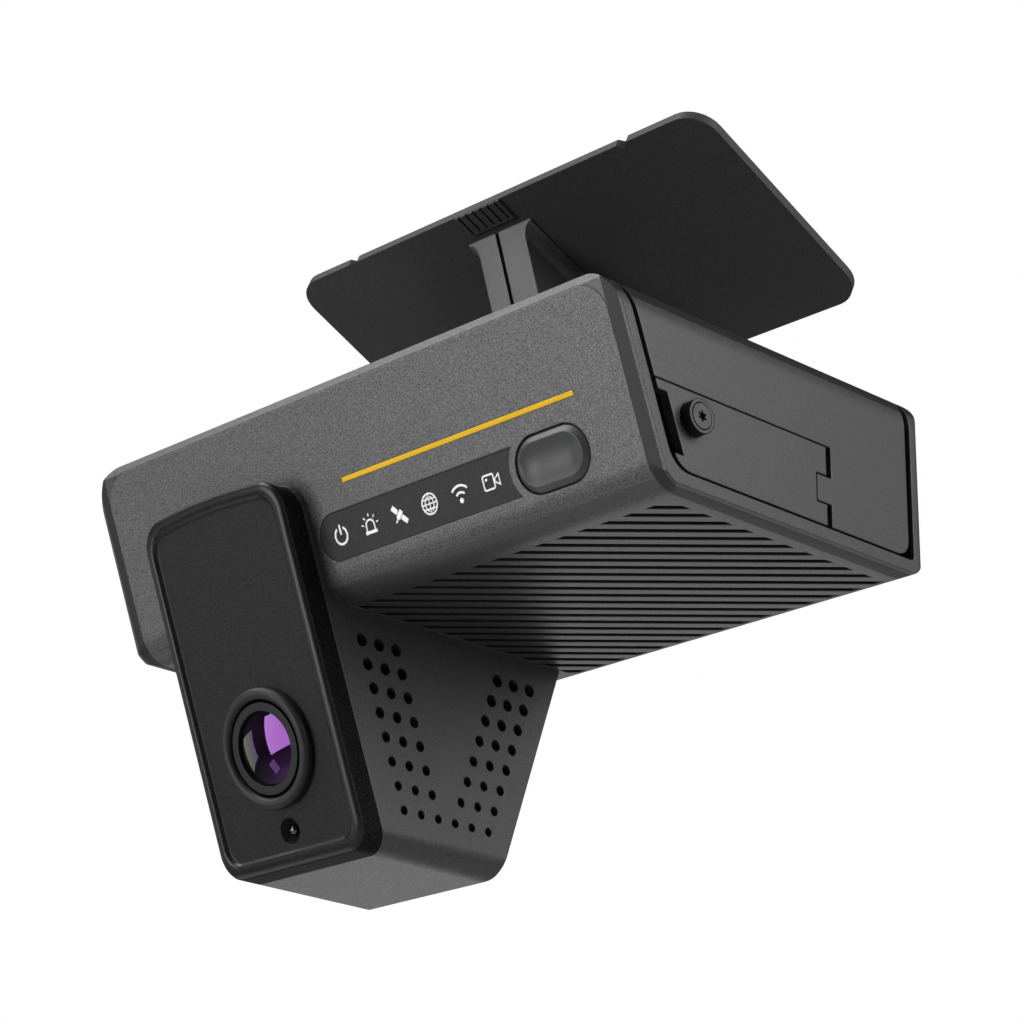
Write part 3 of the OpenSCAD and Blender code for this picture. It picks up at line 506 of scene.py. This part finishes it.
def panel_outline(inset):
    """The panel's outline seen from the front, in X-Z: tall, with round corners and a slightly arched top."""
    side = POD_W / 2 - inset
    low = inset - POD_DROP
    top = BODY_H - PANEL_N * math.sin(FACE_TILT) - PANEL_TOP_S * math.cos(FACE_TILT) - inset
    r = max(POD_R - inset * 0.6, 0.4)
    upper = max(PANEL_TOP_R - inset * 0.6, 0.4)
    shoulder = top - PANEL_ARCH
    turn = 78
    points = arc((side - r, low + r), r, -90, 0)
    points += arc((side - upper, shoulder - upper), upper, 0, turn)
    arch_x, arch_z = points[-1]
    half_steps = 8
    for i in range(1, 2 * half_steps):
        across = 1 - i / half_steps
        points.append((arch_x * across, top - (top - arch_z) * across ** 2))
    points += arc((upper - side, shoulder - upper), upper, 180 - turn, 180)
    points += arc((r - side, low + r), r, 180, 270)
    return [(x + POD_X, z) for x, z in points]


def face_point(x, z, n):
    """A point of the frame at x and z of the body, on the plane n out of the front face."""
    y = (BODY_H - z) * math.tan(FACE_TILT) - n / math.cos(FACE_TILT)
    return at(x, y, z)


def lens_place(u, v, h):
    """A point u across and v down from the lens's axis, h out of the front face."""
    return on_face(LENS[0] + u, LENS[1] + v, h)


def sensor_place(u, v, h):
    """A point u across and v down from the light sensor's axis, h out of the front face."""
    return on_face(SENSOR[0] + u, SENSOR[1] + v, h)


def pod_front_panel():
    """The panel with a rolled rim round its recessed face, and openings for the lens and the sensor."""
    side = ((0, 1), (0, 4.35))
    outer_roll = ((0.12, 4.65), (0.35, 4.92), (0.7, 5.1), (1.1, 5.18), (1.45, PANEL_N))
    inner_roll = ((1.75, 5.14), (2.0, 4.98), (2.2, 4.78), (2.4, 4.64))
    face = ((2.6, RECESS_N), (2.9, RECESS_N))
    steps = side + outer_roll + inner_roll + face
    rings = [[face_point(x, z, n) for x, z in panel_outline(inset)] for inset, n in steps]
    panel = loft("pod_front_panel_rim", rings, 40)
    clear = PANEL_N + 0.8
    lens_profile = [(0, HOLE_FLOOR_N), (LENS_HOLE_R, HOLE_FLOOR_N), (LENS_HOLE_R, clear), (0, clear)]
    lens_hole = lathe("lens_hole", lens_place, lens_profile)
    sink = HOLE_FLOOR_N + 0.1
    flare = PANEL_N + 0.1 - sink
    sensor_profile = [(0, HOLE_FLOOR_N), (SENSOR_HOLE_R, HOLE_FLOOR_N), (SENSOR_HOLE_R, sink),
                      (SENSOR_HOLE_R + flare, sink + flare), (0, sink + flare)]
    sensor_hole = lathe("sensor_hole", sensor_place, sensor_profile)
    cut(panel, lens_hole, sensor_hole)
    keep_flats_flat(panel)
    dress(panel, "panel_black", "camera")
    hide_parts("pod_front_panel")


dress_nodes()
pod_front_panel()

# ---- Camera, light and floor ----

CAMERA_PLACE = at(342.2, -295.9, -162.1)
CAMERA_AZIMUTH = 45.561
CAMERA_ELEVATION = -20.696
CAMERA_ROLL = 0.475
CAMERA_LENS = 111.45
SENSOR_W = 36

# The point that the lights face, and the floor's height and half width in metres
MIDDLE = at(0, 30, 5)
FLOOR_LEVEL = -0.85
FLOOR_HALF = 4


def make_camera():
    """A camera at CAMERA_PLACE, low on the right in front of the object and looking up at it."""
    data = bpy.data.cameras.new("camera")
    data.lens = CAMERA_LENS
    data.sensor_width = SENSOR_W
    data.clip_start = 0.01
    data.clip_end = 20
    camera = bpy.data.objects.new("camera", data)
    bpy.context.scene.collection.objects.link(camera)
    a = math.radians(CAMERA_AZIMUTH)
    e = math.radians(CAMERA_ELEVATION)
    back = Vector((math.sin(a) * math.cos(e), -math.cos(a) * math.cos(e), math.sin(e)))
    right = (-back).cross(Vector((0, 0, 1))).normalized()
    up = right.cross(-back)
    roll = math.radians(CAMERA_ROLL)
    turned = right * math.cos(roll) + up * math.sin(roll)
    upright = up * math.cos(roll) - right * math.sin(roll)
    matrix = Matrix((turned, upright, back)).transposed().to_4x4()
    matrix.translation = CAMERA_PLACE
    camera.matrix_world = matrix
    bpy.context.scene.camera = camera


def soft_light(name, direction, distance, size, power):
    """A square softbox that lights the object's middle from a direction, in metres and watts."""
    away = Vector(direction).normalized()
    data = bpy.data.lights.new(name, "AREA")
    data.shape = "SQUARE"
    data.size = size
    data.energy = power
    light = bpy.data.objects.new(name, data)
    light.location = MIDDLE + away * distance
    light.rotation_euler = (-away).to_track_quat("-Z", "Y").to_euler()
    bpy.context.scene.collection.objects.link(light)


def make_world():
    """White behind the object, dimmer as a light on it."""
    world = bpy.data.worlds.new("studio")
    bpy.context.scene.world = world
    world.use_nodes = True
    nodes = world.node_tree.nodes
    links = world.node_tree.links
    shown = nodes["Background"]
    shown.inputs["Color"].default_value = (1, 1, 1, 1)
    shown.inputs["Strength"].default_value = 1.0
    lit = nodes.new("ShaderNodeBackground")
    lit.inputs["Color"].default_value = (1, 1, 1, 1)
    lit.inputs["Strength"].default_value = 0.06
    path = nodes.new("ShaderNodeLightPath")
    mix = nodes.new("ShaderNodeMixShader")
    links.new(path.outputs["Is Camera Ray"], mix.inputs[0])
    links.new(lit.outputs[0], mix.inputs[1])
    links.new(shown.outputs[0], mix.inputs[2])
    links.new(mix.outputs[0], nodes["World Output"].inputs["Surface"])


def make_floor():
    """A pale floor far below, seen white by the camera and dimmer as a light on the object."""
    bm = bmesh.new()
    bmesh.ops.create_grid(bm, x_segments=8, y_segments=8, size=FLOOR_HALF)
    floor = mesh_object("floor", bm)
    floor.location.z = FLOOR_LEVEL
    m = Maker("floor_pale", Roughness=0.8)
    m.set("Base Color", m.ramp(m.noise(30, 2), (0.5, 0.5, 0.5), (0.52, 0.52, 0.52), 0.3, 0.7))
    shown = m.node("ShaderNodeEmission")
    shown.inputs["Color"].default_value = (0.9, 0.9, 0.9, 1)
    path = m.node("ShaderNodeLightPath")
    mix = m.node("ShaderNodeMixShader")
    m.link(path.outputs["Is Camera Ray"], mix.inputs[0])
    m.link(m.shader.outputs[0], mix.inputs[1])
    m.link(shown.outputs[0], mix.inputs[2])
    m.link(mix.outputs[0], m.material.node_tree.nodes["Material Output"].inputs["Surface"])
    floor.data.materials.append(m.material)


make_camera()
make_world()
make_floor()
bpy.context.scene.view_settings.view_transform = "Standard"

# For the front face, then the top bevel and the arm, then the right side
soft_light("front_left", (-0.37, -0.9, -0.1), 1.2, 0.7, 9.2)
soft_light("high_front", (-0.4, -0.5, 0.76), 1.2, 0.9, 16)
soft_light("right", (0.95, 0.2, 0.33), 1.2, 0.9, 20)
# Small ones that show in the cabin lens
soft_light("left", (-0.92, -0.36, -0.08), 1.2, 0.4, 0.6)
soft_light("low_front", (-0.6, -0.62, -0.5), 1.2, 0.2, 0.15)
# For the underside and the plate's lower face
soft_light("low_rear", (-0.6, 0.72, -0.4), 1.1, 0.7, 1.35)
soft_light("low_left", (-0.72, 0.0, -0.66), 1.1, 0.5, 1.0)
